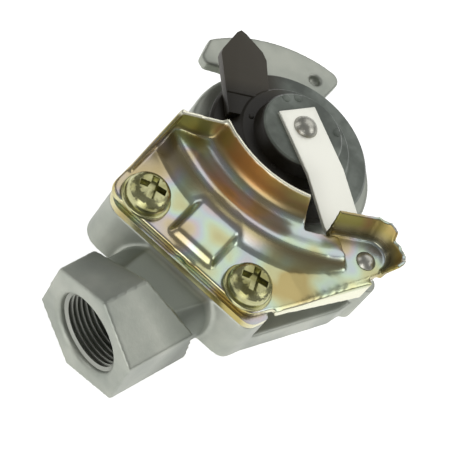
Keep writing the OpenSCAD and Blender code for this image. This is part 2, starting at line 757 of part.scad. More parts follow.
module pivot_rivet() {
    color("gray") translate([pivot[0], pivot[1], end_z])
        rivet(pivot_head_d, 1.9, pivot_d, end_z - pivot_washer_z, 6.6, 1.3);
}
module pivot_washer() {
    color("gray") translate([pivot[0], pivot[1], pivot_washer_z]) difference() {
        cylinder(h = pivot_washer_t, d = pivot_washer_d);
        translate([0, 0, -cut]) cylinder(h = pivot_washer_t + 2 * cut, d = pivot_d);
    }
}

body();
riser();
chamber();
base_plate();
claw_plate();
plate_screws();
screw_washers();
face_seal();
dust_cap();
cover_spring();
cap_rivet();
cap_rivet_washer();
pivot_rivet();
pivot_washer();
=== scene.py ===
"""Palm type air brake coupling head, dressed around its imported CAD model.

Metres, in the CAD frame: the origin lies on the coupling axis in the plane of the
face seal, +Z is the coupling face's normal and +X points away from the port.
"""

import logging
import math
from dataclasses import dataclass
from enum import Enum

import bpy
from mathutils import Matrix, Vector


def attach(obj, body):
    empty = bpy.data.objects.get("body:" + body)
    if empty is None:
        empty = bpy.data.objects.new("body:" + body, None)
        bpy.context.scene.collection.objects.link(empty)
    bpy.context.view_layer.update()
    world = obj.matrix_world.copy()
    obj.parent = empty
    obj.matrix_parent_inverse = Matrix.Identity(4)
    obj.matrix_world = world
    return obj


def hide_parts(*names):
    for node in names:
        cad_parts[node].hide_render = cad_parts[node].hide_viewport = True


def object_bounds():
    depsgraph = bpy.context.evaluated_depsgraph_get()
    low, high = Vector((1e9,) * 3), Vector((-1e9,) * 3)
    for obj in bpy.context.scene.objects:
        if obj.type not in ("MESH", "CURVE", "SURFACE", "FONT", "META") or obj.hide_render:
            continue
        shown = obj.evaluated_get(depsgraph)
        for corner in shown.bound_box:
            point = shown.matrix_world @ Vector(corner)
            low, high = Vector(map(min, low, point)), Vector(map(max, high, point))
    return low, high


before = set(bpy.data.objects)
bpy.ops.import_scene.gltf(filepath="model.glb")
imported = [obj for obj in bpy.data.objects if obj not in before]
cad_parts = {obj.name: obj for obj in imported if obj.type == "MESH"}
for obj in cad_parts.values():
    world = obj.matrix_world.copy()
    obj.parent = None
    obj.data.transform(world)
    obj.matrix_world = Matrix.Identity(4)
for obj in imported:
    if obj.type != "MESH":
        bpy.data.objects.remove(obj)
CAD_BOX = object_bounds()

LOG = logging.getLogger("coupling_head")
MM = 0.001
STEEP = "steep"
MERGE_MM = 0.002
LEVEL_FACES = 0.6
WHITE = "#FFFFFF"


class Slot(Enum):
    """Material slots of the record."""

    CAST = "cast_alloy"
    PASSIVATE = "passivated_steel"
    STRIP = "bright_steel"
    RIVET = "rivet_steel"
    CAP = "cap_plastic"
    SEAL = "seal_rubber"


class Look(Enum):
    """Finishes that a piece can carry."""

    CASTING = "casting"
    THREAD = "thread"
    SHEET = "sheet"
    HARDWARE = "hardware"
    STRIP = "strip"
    RIVET = "rivet"
    CAP = "cap"
    SEAL = "seal"


class Rider(Enum):
    """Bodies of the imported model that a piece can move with."""

    HEAD = "head"
    COVER = "cover"


def linear(code: str) -> tuple[float, float, float, float]:
    """Turns an sRGB hex colour into linear RGBA.

    Args:
        code: Colour such as "#A9ABA3".

    Returns:
        Linear red, green and blue with an alpha of 1.
    """
    parts = [int(code[i : i + 2], 16) / 255 for i in (1, 3, 5)]
    straight = [c / 12.92 if c <= 0.04045 else ((c + 0.055) / 1.055) ** 2.4 for c in parts]
    return (*straight, 1.0)


def add_node(
    tree: bpy.types.NodeTree,
    kind: str,
    sockets: dict[str | int, object] | None = None,
    **settings: object,
) -> bpy.types.Node:
    """Adds a shader node with its settings and links.

    Args:
        tree: Node tree of the material.
        kind: Node type, such as "ShaderNodeTexNoise".
        sockets: Input name or index to a value, or to an output socket to link from.
        **settings: Properties of the node itself.

    Returns:
        The new node.
    """
    made = tree.nodes.new(kind)
    for name, value in settings.items():
        setattr(made, name, value)
    for name, value in (sockets or {}).items():
        if isinstance(value, bpy.types.NodeSocket):
            tree.links.new(value, made.inputs[name])
        else:
            made.inputs[name].default_value = value
    return made


def ramp(
    tree: bpy.types.NodeTree, factor: bpy.types.NodeSocket, stops: list[tuple[float, str]]
) -> bpy.types.NodeSocket:
    """Adds a colour ramp.

    Args:
        tree: Node tree of the material.
        factor: Output that drives the ramp.
        stops: Place and sRGB hex colour of each stop, in rising order.

    Returns:
        The ramp's colour output.
    """
    made = add_node(tree, "ShaderNodeValToRGB", {"Fac": factor})
    band = made.color_ramp
    first, *between, last = stops
    for element, (place, code) in zip((band.elements[0], band.elements[-1]), (first, last)):
        element.position = place
        element.color = linear(code)
    for place, code in between:
        band.elements.new(place).color = linear(code)
    return made.outputs["Color"]


def start_material(
    name: str,
) -> tuple[bpy.types.Material, bpy.types.NodeTree, bpy.types.Node, bpy.types.NodeSocket]:
    """Starts a material with an empty surface shader.

    Args:
        name: Name of the material.

    Returns:
        The material, its node tree, its surface shader and its object coordinates.
    """
    material = bpy.data.materials.new(name)
    material.use_nodes = True
    tree = material.node_tree
    shader = tree.nodes["Principled BSDF"]
    place = add_node(tree, "ShaderNodeTexCoord").outputs["Object"]
    return material, tree, shader, place


def noise(
    tree: bpy.types.NodeTree, place: bpy.types.NodeSocket, size_mm: float, detail: float
) -> bpy.types.NodeSocket:
    """Adds a noise pattern of a real size.

    Args:
        tree: Node tree of the material.
        place: Coordinates that the pattern lies on.
        size_mm: Width of its features.
        detail: Octaves of finer noise.

    Returns:
        The pattern's strength, about 0.3 to 0.7.
    """
    made = add_node(
        tree, "ShaderNodeTexNoise", {"Vector": place, "Scale": 1.0 / (size_mm * MM), "Detail": detail}
    )
    return made.outputs["Fac"]


def span(
    tree: bpy.types.NodeTree,
    value: bpy.types.NodeSocket,
    low: float,
    high: float,
    result: tuple[float, float] = (0.0, 1.0),
) -> bpy.types.NodeSocket:
    """Adds a value that runs from one end of a range to the other and stays there.

    Args:
        tree: Node tree of the material.
        value: Value to place.
        low: Value that gives the result's first end.
        high: Value that gives its second end.
        result: Ends of the result.

    Returns:
        The placed value.
    """
    ends = {"From Min": low, "From Max": high, "To Min": result[0], "To Max": result[1]}
    return add_node(tree, "ShaderNodeMapRange", {"Value": value, **ends}).outputs["Result"]


def both(
    tree: bpy.types.NodeTree, first: bpy.types.NodeSocket, second: bpy.types.NodeSocket
) -> bpy.types.NodeSocket:
    """Adds the product of two shares.

    Args:
        tree: Node tree of the material.
        first: One share.
        second: Other share.

    Returns:
        The share that lies in both.
    """
    return add_node(tree, "ShaderNodeMath", {0: first, 1: second}, operation="MULTIPLY").outputs[0]


def blend(
    tree: bpy.types.NodeTree, share: bpy.types.NodeSocket, first: object, second: object
) -> bpy.types.NodeSocket:
    """Adds a blend of two colours.

    Args:
        tree: Node tree of the material.
        share: Share of the second colour.
        first: Colour where the share is 0, as a socket or a linear RGBA value.
        second: Colour where the share is 1, likewise.

    Returns:
        The blended colour.
    """
    made = add_node(tree, "ShaderNodeMix", {0: share, 6: first, 7: second}, data_type="RGBA")
    return made.outputs[2]


def relief(
    tree: bpy.types.NodeTree, height: bpy.types.NodeSocket, strength: float, depth_mm: float
) -> bpy.types.NodeSocket:
    """Adds a bump to a surface.

    Args:
        tree: Node tree of the material.
        height: Pattern that gives the height.
        strength: Share of the bump that shows.
        depth_mm: Height of the bump.

    Returns:
        The bumped normal.
    """
    made = add_node(
        tree, "ShaderNodeBump", {"Height": height, "Strength": strength, "Distance": depth_mm * MM}
    )
    return made.outputs["Normal"]


@dataclass(frozen=True)
class CastAlloy:
    """Blasted aluminium casting: grey, half matt, with a fine pebbled skin and darker patches."""

    name: str = "blasted_cast_aluminium"
    pale: str = "#B6B9AE"
    dull: str = "#989D94"
    # Painted shade: this darker tone is laid in the hollow where the hex runs into the block.
    skin: str = "#777C72"
    neck_mm: tuple[tuple[float, float], ...] = ((-81.0, -72.0), (-62.4, -64.6))
    pebble_mm: float = 0.9  # about three times the real grit, so that it shows
    patch_mm: float = 14.0
    metallic: float = 0.72
    roughness: float = 0.46

    def build(self) -> bpy.types.Material:
        """Builds the material, with a painted shade: darker in the hollow where the port's hex
        runs into the block.

        Returns:
            The material.
        """
        material, tree, shader, place = start_material(self.name)
        patches = noise(tree, place, self.patch_mm, 5.0)
        colour = ramp(tree, patches, [(0.3, self.dull), (0.62, self.pale)])
        # Painted shade over the X ranges of that hollow behind the hex.
        along = add_node(tree, "ShaderNodeSeparateXYZ", {"Vector": place}).outputs["X"]
        neck_shade = both(tree, *(span(tree, along, low * MM, high * MM) for low, high in self.neck_mm))
        colour = blend(tree, neck_shade, colour, linear(self.skin))
        grit = noise(tree, place, self.pebble_mm, 3.0)
        tree.links.new(colour, shader.inputs["Base Color"])
        tree.links.new(relief(tree, grit, 0.3, 0.12), shader.inputs["Normal"])
        shader.inputs["Metallic"].default_value = self.metallic
        shader.inputs["Roughness"].default_value = self.roughness
        return material


@dataclass(frozen=True)
class PassivatedSteel:
    """Pressed sheet with a yellow zinc passivate.

    The film is mint and lilac where the sheet lies level, olive where it is drawn up into walls, and
    rust in the middle of the inner wall, where it was drawn the most. A darker olive on the outward
    slopes of the rib is painted shade, and a pale cream line along the level top edge of the walls is
    a painted highlight. The film is gold down the skirt behind and pale on its right flank.
    """

    name: str = "yellow_passivated_sheet"
    drift_mm: float = 15.0
    rolling_mm: float = 0.8  # coarser than real rolling marks, so that they show
    sheet_top_mm: float = 10.5
    wall_mm: tuple[float, float] = (14.6, 17.2)
    rim_mm: float = 20.8
    bend_mm: tuple[float, float] = (-0.4, 1.0)
    rim_fade_mm: float = 0.7
    drawn: tuple[float, float] = (0.06, 0.55)
    leaning: tuple[float, float] = (0.04, 0.3)
    rim_level: tuple[float, float] = (0.85, 0.4)
    metallic: float = 0.9
    level_roughness: float = 0.27
    wall_roughness: float = 0.42
    # Painted highlight: the pale cream line along the level top edge of the walls.
    rim_highlight: str = "#EDEBD6"
    # Painted shade: darker olive on the outward slopes of the rib.
    slope_shade: str = "#978D6C"
    slope_mm: tuple[float, float] = (11.4, 14.0)
    flank: str = "#E2E1C8"
    flank_mm: tuple[float, float] = (-22.0, -28.0)
    rust: str = "#C08648"
    rust_at_mm: tuple[float, float, float] = (-30.5, 3.0, 17.0)
    rust_reach_mm: tuple[float, float] = (4.0, 14.0)
    level: tuple[tuple[float, str], ...] = (
        (0.32, "#B0A06C"),
        (0.40, "#BCBE94"),
        (0.46, "#B9CAB2"),
        (0.51, "#B4BFC0"),
        (0.56, "#BCB4B6"),
        (0.62, "#C0B396"),
        (0.72, "#B09E6A"),
    )
    upright: tuple[tuple[float, str], ...] = (
        (0.32, "#8C8748"),
        (0.43, "#A39A5A"),
        (0.50, "#AC9A60"),
        (0.57, "#A28458"),
        (0.66, "#968F50"),
    )
    skirt: tuple[tuple[float, str], ...] = (
        (0.38, "#A8935A"),
        (0.50, "#CFCBA0"),
        (0.62, "#B3A566"),
    )

    def build(self) -> bpy.types.Material:
        """Builds the material.

        Returns:
            The material.
        """
        material, tree, shader, place = start_material(self.name)
        drift = noise(tree, place, self.drift_mm, 1.5)
        steep = add_node(tree, "ShaderNodeAttribute", attribute_name=STEEP).outputs["Fac"]
        axes = add_node(tree, "ShaderNodeSeparateXYZ", {"Vector": place}).outputs
        height = axes["Z"]
        low, high = ((self.sheet_top_mm + bend) * MM for bend in self.bend_mm)
        drawn = span(tree, steep, *self.drawn)
        wall = both(tree, drawn, span(tree, height, self.wall_mm[0] * MM, self.wall_mm[1] * MM))
        below = both(tree, drawn, span(tree, height, high, low))
        # Painted highlight on the level-facing faces above the walls' top height.
        wall_top = span(tree, height, self.rim_mm * MM, (self.rim_mm + self.rim_fade_mm) * MM)
        edge = both(tree, wall_top, span(tree, steep, *self.rim_level))
        centre = tuple(c * MM for c in self.rust_at_mm)
        away = add_node(tree, "ShaderNodeVectorMath", {0: place, 1: centre}, operation="DISTANCE")
        full, faded = self.rust_reach_mm
        near = span(tree, away.outputs["Value"], faded * MM, full * MM)
        film = ramp(tree, drift, list(self.level))
        flank = span(tree, axes["Y"], self.flank_mm[0] * MM, self.flank_mm[1] * MM)
        skirt = blend(tree, flank, ramp(tree, drift, list(self.skirt)), linear(self.flank))
        film = blend(tree, below, film, skirt)
        # Painted shade on the sloping faces between the slope heights.
        raised = span(tree, height, self.slope_mm[0] * MM, self.slope_mm[1] * MM)
        shaded_slope = both(tree, span(tree, steep, *self.leaning), raised)
        film = blend(tree, shaded_slope, film, linear(self.slope_shade))
        drawn_film = blend(tree, near, ramp(tree, drift, list(self.upright)), linear(self.rust))
        film = blend(tree, wall, film, drawn_film)
        film = blend(tree, edge, film, linear(self.rim_highlight))
        skin = noise(tree, place, self.rolling_mm, 2.0)
        rough = span(tree, wall, 0.0, 1.0, (self.level_roughness, self.wall_roughness))
        tree.links.new(film, shader.inputs["Base Color"])
        tree.links.new(rough, shader.inputs["Roughness"])
        tree.links.new(relief(tree, skin, 0.1, 0.04), shader.inputs["Normal"])
        shader.inputs["Metallic"].default_value = self.metallic
        return material


@dataclass(frozen=True)
class PassivatedHardware:
    """Screws and washers with the same passivate, thicker and more olive than on the sheet."""

    name: str = "olive_passivated_hardware"
    pale: str = "#B4B388"
    olive: str = "#8E8B5C"
    drift_mm: float = 5.0
    metallic: float = 0.95
    roughness: float = 0.26

    def build(self) -> bpy.types.Material:
        """Builds the material.

        Returns:
            The material.
        """
        material, tree, shader, place = start_material(self.name)
        drift = noise(tree, place, self.drift_mm, 2.0)
        film = ramp(tree, drift, [(0.38, self.olive), (0.6, self.pale)])
        tree.links.new(film, shader.inputs["Base Color"])
        shader.inputs["Metallic"].default_value = self.metallic
        shader.inputs["Roughness"].default_value = self.roughness
        return material


@dataclass(frozen=True)
class PlainMetal:
    """Bright or dull steel without a pattern of its own, but for faint handling marks."""

    name: str
    colour: str
    roughness: float
    metallic: float = 0.9
    mark_mm: float = 3.0

    def build(self) -> bpy.types.Material:
        """Builds the material.

        Returns:
            The material.
        """
        material, tree, shader, place = start_material(self.name)
        marks = noise(tree, place, self.mark_mm, 4.0)
        tree.links.new(relief(tree, marks, 0.1, 0.05), shader.inputs["Normal"])
        shader.inputs["Base Color"].default_value = linear(self.colour)
        shader.inputs["Metallic"].default_value = self.metallic
        shader.inputs["Roughness"].default_value = self.roughness
        return material


@dataclass(frozen=True)
class MouldedBlack:
    """Black moulding, half matt with a slight orange peel."""

    name: str
    colour: str
    roughness: float
    peel_mm: float = 1.6

    def build(self) -> bpy.types.Material:
        """Builds the material.

        Returns:
            The material.
        """
        material, tree, shader, place = start_material(self.name)
        peel = noise(tree, place, self.peel_mm, 2.0)
        tree.links.new(relief(tree, peel, 0.25, 0.08), shader.inputs["Normal"])
        shader.inputs["Base Color"].default_value = linear(self.colour)
        shader.inputs["Roughness"].default_value = self.roughness
        return material


@dataclass(frozen=True)
class NylonWithPaintedLight:
    """Black nylon of the cap, with painted light: a mottled grey sheen on its raised disc and on the
    side away from the claw, where the light falls. The tab is a lighter black.
    """

    name: str = "black_nylon_painted_light"
    plain_black: str = "#25221B"
    # A lighter black laid on the tab.
    tab_tone: str = "#443F34"
    # Painted light: these greys, mottled, go on the raised disc and on the sides that face the light.
    lit_greys: tuple[tuple[float, str], ...] = ((0.36, "#5C625B"), (0.52, "#6E756D"), (0.66, "#848B83"))
    roughness: float = 0.4
    specular: float = 0.25
    peel_mm: float = 1.6
    mottle_mm: float = 7.0
    disc_mm: tuple[float, float] = (11.3, 11.6)
    headings: tuple[tuple[float, float], ...] = ((-30.0, -2.0), (-60.0, -8.0))
    tab_heading: tuple[float, float] = (39.5, 11.0)
    fade_mm: float = 6.0

    def build(self) -> bpy.types.Material:
        """Builds the material.

        Returns:
            The material.
        """
        material, tree, shader, place = start_material(self.name)
        sides = [self.side(tree, place, *heading) for heading in self.headings]
        height = add_node(tree, "ShaderNodeSeparateXYZ", {"Vector": place}).outputs["Z"]
        disc = span(tree, height, self.disc_mm[0] * MM, self.disc_mm[1] * MM)
        # Painted light: grey sheen on the disc top and on the sides away from the claw.
        lit_share = add_node(tree, "ShaderNodeMath", {0: both(tree, *sides), 1: disc}, operation="MAXIMUM")
        lit_mottle = ramp(tree, noise(tree, place, self.mottle_mm, 3.0), list(self.lit_greys))
        tab = self.side(tree, place, *self.tab_heading)
        colour = blend(tree, tab, linear(self.plain_black), linear(self.tab_tone))
        colour = blend(tree, lit_share.outputs[0], colour, lit_mottle)
        peel = noise(tree, place, self.peel_mm, 2.0)
        tree.links.new(colour, shader.inputs["Base Color"])
        tree.links.new(relief(tree, peel, 0.25, 0.08), shader.inputs["Normal"])
        shader.inputs["Roughness"].default_value = self.roughness
        shader.inputs["Specular IOR Level"].default_value = self.specular
        return material

    def side(
        self, tree: bpy.types.NodeTree, place: bpy.types.NodeSocket, heading: float, start_mm: float
    ) -> bpy.types.NodeSocket:
        """Adds the share of the cap that lies on one side of a line.

        Args:
            tree: Node tree of the material.
            place: Object coordinates.
            heading: Direction that the side faces, in degrees from +X.
            start_mm: Distance of the line from the cap's axis along that direction.

        Returns:
            The share.
        """
        turn = math.radians(heading)
        facing = (math.cos(turn), math.sin(turn), 0.0)
        along = add_node(tree, "ShaderNodeVectorMath", {0: place, 1: facing}, operation="DOT_PRODUCT")
        return span(tree, along.outputs["Value"], start_mm * MM, (start_mm + self.fade_mm) * MM)


FINISHES = {
    Look.CASTING: (Slot.CAST, CastAlloy()),
    Look.THREAD: (Slot.CAST, PlainMetal("machined_cast_thread", "#9C9E96", 0.32)),
    Look.SHEET: (Slot.PASSIVATE, PassivatedSteel()),
    Look.HARDWARE: (Slot.PASSIVATE, PassivatedHardware()),
    Look.STRIP: (Slot.STRIP, PlainMetal("bright_rolled_strip", "#FBFBF0", 0.42, 0.6)),
    Look.RIVET: (Slot.RIVET, PlainMetal("dull_rivet_steel", "#B4B3A9", 0.34)),
    Look.CAP: (Slot.CAP, NylonWithPaintedLight()),
    Look.SEAL: (Slot.SEAL, MouldedBlack("moulded_seal_rubber", "#272726", 0.6)),
}


class Workshop:
    """Materials by finish, and the hand tools that every sub-assembly uses."""

    def __init__(self) -> None:
        """Builds every finish once."""
        self.materials = {look: finish.build() for look, (_, finish) in FINISHES.items()}

    @staticmethod
    def pick(*pieces: bpy.types.Object) -> None:
        """Selects some pieces alone and makes the first one active.

        Args:
            *pieces: Pieces to select.
        """
        bpy.ops.object.select_all(action="DESELECT")
        for piece in pieces:
            piece.select_set(True)
        bpy.context.view_layer.objects.active = pieces[0]

    def modify(self, piece: bpy.types.Object, kind: str, **settings: object) -> None:
        """Adds a modifier to a piece and applies it.

        Args:
            piece: Piece to change.
            kind: Modifier type.
            **settings: Properties of the modifier.
        """
        self.pick(piece)
        made = piece.modifiers.new(kind.lower(), kind)
        for name, value in settings.items():
            setattr(made, name, value)
        bpy.ops.object.modifier_apply(modifier=made.name)

    def pick_near(self, piece: bpy.types.Object, place: Vector, reach_mm: float) -> None:
        """Opens a piece in edit mode with the points near one place selected.

        Args:
            piece: Piece to shape.
            place: Middle of the points, in millimetres.
            reach_mm: Distance up to which points are selected.
        """
        self.pick(piece)
        bpy.ops.object.mode_set(mode="EDIT")
        bpy.ops.mesh.select_all(action="DESELECT")
        bpy.ops.object.mode_set(mode="OBJECT")
        for vertex in piece.data.vertices:
            vertex.select = (vertex.co / MM - place).length < reach_mm
        bpy.ops.object.mode_set(mode="EDIT")

    def copy_of(self, node: str, name: str) -> bpy.types.Object:
        """Copies a CAD node as one merged mesh of flat faces.

        Args:
            node: Name of the CAD node.
            name: Name of the copy.

        Returns:
            The copy, which doesn't ride on a body yet.
        """
        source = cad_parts[node]
        piece = bpy.data.objects.new(name, source.data.copy())
        bpy.context.scene.collection.objects.link(piece)
        self.pick(piece)
        bpy.ops.object.mode_set(mode="EDIT")
        bpy.ops.mesh.select_all(action="SELECT")
        bpy.ops.mesh.remove_doubles(threshold=MERGE_MM * MM)
        bpy.ops.mesh.dissolve_limited(angle_limit=math.radians(LEVEL_FACES))
        bpy.ops.object.mode_set(mode="OBJECT")
        return piece

    def soften(
        self, piece: bpy.types.Object, width_mm: float, angle: float = 32.0, segments: int = 3
    ) -> None:
        """Rounds the sharp edges of a piece and shades the rest smooth.

        Args:
            piece: Piece to round.
            width_mm: Width of the round.
            angle: Edges sharper than this, in degrees, are rounded.
            segments: Steps of the round.
        """
        self.modify(
            piece,
            "BEVEL",
            width=width_mm * MM,
            segments=segments,
            limit_method="ANGLE",
            angle_limit=math.radians(angle),
            use_clamp_overlap=True,
            miter_outer="MITER_ARC",
        )
        bpy.ops.object.shade_smooth_by_angle(angle=math.radians(angle))

    def weld(self, piece: bpy.types.Object, reach_mm: float = 0.02) -> None:
        """Merges the slivers that rounding leaves at a tight corner.

        Args:
            piece: Piece that has been rounded.
            reach_mm: Distance up to which points are merged.
        """
        self.pick(piece)
        bpy.ops.object.mode_set(mode="EDIT")
        bpy.ops.mesh.select_all(action="SELECT")
        bpy.ops.mesh.remove_doubles(threshold=reach_mm * MM)
        bpy.ops.mesh.dissolve_degenerate(threshold=MERGE_MM * MM)
        bpy.ops.object.mode_set(mode="OBJECT")

    def remodel(self, piece: bpy.types.Object, voxel_mm: float, passes: int) -> None:
        """Rebuilds a piece as one even skin and relaxes its edges.

        Args:
            piece: Piece to rebuild.
            voxel_mm: Size of the new faces.
            passes: Rounds of relaxing.
        """
        self.modify(piece, "REMESH", mode="VOXEL", voxel_size=voxel_mm * MM)
        self.modify(piece, "SMOOTH", factor=0.5, iterations=passes)
        bpy.ops.object.shade_smooth()

    @staticmethod
    def mark_steep(piece: bpy.types.Object) -> None:
        """Stores how steep a piece stands at each vertex, from 0 for level to 1 for upright.

        Args:
            piece: Piece whose finish reads it.
        """
        steep = piece.data.attributes.new(STEEP, "FLOAT", "POINT")
        for vertex, entry in zip(piece.data.vertices, steep.data):
            entry.value = 1.0 - abs(vertex.normal.z)

    def finish(
        self, piece: bpy.types.Object, look: Look, rider: Rider, *nodes: str
    ) -> bpy.types.Object:
        """Gives a piece its material, its body and the CAD nodes that it stands for.

        Args:
            piece: Finished piece.
            look: Finish that it carries.
            rider: Body that it moves with.
            *nodes: CAD nodes that it replaces.

        Returns:
            The same piece.
        """
        if look is Look.SHEET:
            self.mark_steep(piece)
        piece.data.materials.clear()
        piece.data.materials.append(self.materials[look])
        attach(piece, rider.value)
        if nodes:
            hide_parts(*nodes)
        LOG.info("%s: %d faces", piece.name, len(piece.data.polygons))
        return piece


@dataclass
class Casting:
    """Cast body with its port, and the thread inside the port."""

    voxel_mm: float = 0.46
    smoothing: int = 6
    kept_share: float = 0.55
    overlap_mm: float = 0.08
    nodes: tuple[str, ...] = ("body", "riser", "chamber")
    thread_root_mm: float = 11.15
    thread_height_mm: float = 0.94
    thread_pitch_mm: float = 1.5
    thread_from_mm: float = 1.6
    thread_turns: int = 9
    thread_start: float = 38.0
    thread_sink_mm: float = 0.06
    thread_foot: float = 0.46
    thread_crest: float = 0.06
    thread_steps: int = 64
    thread_crease: float = 35.0
    bore_sides: int = 96
    port_face_mm: tuple[float, float, float] = (-86.4, 5.4, -8.7)
    port_yaw: float = 16.5
    port_pitch: float = 8.5

    def build(self, shop: Workshop) -> None:
        """Builds and dresses the casting.

        Args:
            shop: Materials and tools.
        """
        body, *others = [shop.copy_of(node, f"cast_{node}") for node in self.nodes]
        self.cut_thread(shop, body)
        for piece in others:
            shop.modify(piece, "DISPLACE", strength=self.overlap_mm * MM, mid_level=0.0)
        shop.pick(body, *others)
        bpy.ops.object.join()
        shop.remodel(body, self.voxel_mm, self.smoothing)
        shop.modify(body, "DECIMATE", ratio=self.kept_share)
        shop.finish(body, Look.CASTING, Rider.HEAD, *self.nodes)
        shop.finish(self.thread(shop), Look.THREAD, Rider.HEAD)

    def port_frame(self) -> Matrix:
        """Works out the frame of the port.

        Returns:
            The frame, with its origin on the port's end face and +X into the casting.
        """
        yaw = Matrix.Rotation(math.radians(-self.port_yaw), 4, "Z")
        pitch = Matrix.Rotation(math.radians(-self.port_pitch), 4, "Y")
        return Matrix.Translation(Vector(self.port_face_mm) * MM) @ yaw @ pitch

    def cut_thread(self, shop: Workshop, body: bpy.types.Object) -> None:
        """Opens the port's bore to the root of its thread.

        Args:
            shop: Materials and tools.
            body: Copy of the cast body.
        """
        length = self.thread_from_mm + self.thread_pitch_mm * self.thread_turns
        bpy.ops.object.select_all(action="DESELECT")
        bpy.ops.mesh.primitive_cylinder_add(
            vertices=self.bore_sides, radius=self.thread_root_mm * MM, depth=2 * length * MM
        )
        drill = bpy.context.object
        drill.data.transform(self.port_frame() @ Matrix.Rotation(math.radians(90), 4, "Y"))
        shop.modify(body, "BOOLEAN", operation="DIFFERENCE", object=drill, solver="EXACT")
        bpy.data.objects.remove(drill)

    def thread(self, shop: Workshop) -> bpy.types.Object:
        """Winds the thread's ridge inside the port.

        Args:
            shop: Materials and tools.

        Returns:
            The ridge, in place.
        """
        pitch = self.thread_pitch_mm * MM
        foot, crest = self.thread_foot * pitch, self.thread_crest * pitch
        outer = (self.thread_root_mm + self.thread_sink_mm) * MM
        inner = (self.thread_root_mm - self.thread_height_mm) * MM
        outline = ((-foot, outer), (-crest, inner), (foot, outer), (crest, inner))
        steps = self.thread_steps * self.thread_turns
        bpy.ops.object.select_all(action="DESELECT")
        bpy.ops.mesh.primitive_plane_add(size=1.0)
        ridge = bpy.context.object
        ridge.name = "port_thread"
        for vertex, (along, radius) in zip(ridge.data.vertices, outline):
            vertex.co = (self.thread_from_mm * MM + along, radius, 0.0)
        shop.modify(
            ridge,
            "SCREW",
            axis="X",
            screw_offset=pitch * self.thread_turns,
            angle=math.tau * self.thread_turns,
            steps=steps,
            render_steps=steps,
            use_merge_vertices=False,
        )
        wind = Matrix.Rotation(math.radians(self.thread_start), 4, "X")
        ridge.data.transform(self.port_frame() @ wind)
        bpy.ops.object.mode_set(mode="EDIT")
        bpy.ops.mesh.select_all(action="SELECT")
        bpy.ops.mesh.fill_holes(sides=4)
        bpy.ops.mesh.normals_make_consistent(inside=False)
        bpy.ops.object.mode_set(mode="OBJECT")
        bpy.ops.object.shade_smooth_by_angle(angle=math.radians(self.thread_crease))
        return ridge


@dataclass
class ClawPlate:
    """Pressed claw plate, the plate under it and their screws."""

    voxel_mm: float = 0.34
    smoothing: int = 8
    small_edge_mm: float = 0.35
    lip_at_mm: tuple[float, float] = (-19.61, -36.08)
    lip_crown_mm: tuple[float, float] = (8.0, 19.4)
    pucker_at: tuple[float, ...] = (22.0, -2.0, -27.0, -50.0, -76.0)
    pucker_mm: float = 0.45
    pucker_reach_mm: float = 1.5
    pucker_grip_mm: float = 0.5
    pucker_lean: float = 0.35
    eased: tuple[tuple[tuple[float, float, float], float, int], ...] = (
        ((-28.0, 16.0, 19.5), 6.0, 14),
        ((-51.0, 0.0, 12.0), 10.5, 30),
        ((-48.5, -28.6, 10.5), 3.6, 12),
        ((-43.5, -31.2, 10.8), 3.6, 12),
        ((-38.5, -33.6, 11.4), 3.6, 12),
        ((-33.5, -36.0, 12.1), 3.6, 12),
        ((-28.5, -38.5, 12.2), 3.6, 12),
        ((-29.5, -31.8, 14.3), 5.0, 24),
    )
    rows: tuple[tuple[str, str, Look], ...] = (
        ("base_plate", "flat_base_plate", Look.SHEET),
        ("plate_screws", "pan_head_screws", Look.HARDWARE),
        ("screw_washers", "screw_washer_pair", Look.HARDWARE),
    )

    def build(self, shop: Workshop) -> None:
        """Builds and dresses the plates and screws.

        Args:
            shop: Materials and tools.
        """
        plate = shop.copy_of("claw_plate", "pressed_claw_plate")
        shop.remodel(plate, self.voxel_mm, self.smoothing)
        for place, reach, passes in self.eased:
            self.ease(shop, plate, Vector(place), reach, passes)
        self.pucker(shop, plate)
        shop.finish(plate, Look.SHEET, Rider.HEAD, "claw_plate")
        for node, name, look in self.rows:
            piece = shop.copy_of(node, name)
            shop.soften(piece, self.small_edge_mm)
            if look is Look.SHEET:
                shop.weld(piece)
            shop.finish(piece, look, Rider.HEAD, node)

    @staticmethod
    def ease(
        shop: Workshop, plate: bpy.types.Object, place: Vector, reach_mm: float, passes: int
    ) -> None:
        """Rounds the folds of the sheet near one place, as where the wall turns into the hood.

        Args:
            shop: Materials and tools.
            plate: Claw plate, already one even skin.
            place: Middle of the folds, in millimetres.
            reach_mm: Distance up to which the skin is relaxed.
            passes: Rounds of relaxing.
        """
        shop.pick_near(plate, place, reach_mm)
        bpy.ops.mesh.vertices_smooth(factor=0.5, repeat=passes)
        bpy.ops.object.mode_set(mode="OBJECT")

    def pucker(self, shop: Workshop, plate: bpy.types.Object) -> None:
        """Draws the flared edge of the lip down at a few places, as pressing puckers it.

        Args:
            shop: Materials and tools.
            plate: Claw plate, already one even skin.
        """
        radius, crown = self.lip_crown_mm
        for angle in self.pucker_at:
            turn = math.radians(angle)
            outward = Vector((math.cos(turn), math.sin(turn), 0.0))
            place = Vector((*self.lip_at_mm, crown)) + radius * outward
            pull = (Vector((0.0, 0.0, -1.0)) - self.pucker_lean * outward) * self.pucker_mm
            nearest = min((v.co / MM - place).length for v in plate.data.vertices)
            shop.pick_near(plate, place, nearest + self.pucker_grip_mm)
            bpy.ops.transform.translate(
                value=pull * MM,
                use_proportional_edit=True,
                proportional_edit_falloff="SMOOTH",
                proportional_size=self.pucker_reach_mm * MM,
            )
            bpy.ops.object.mode_set(mode="OBJECT")


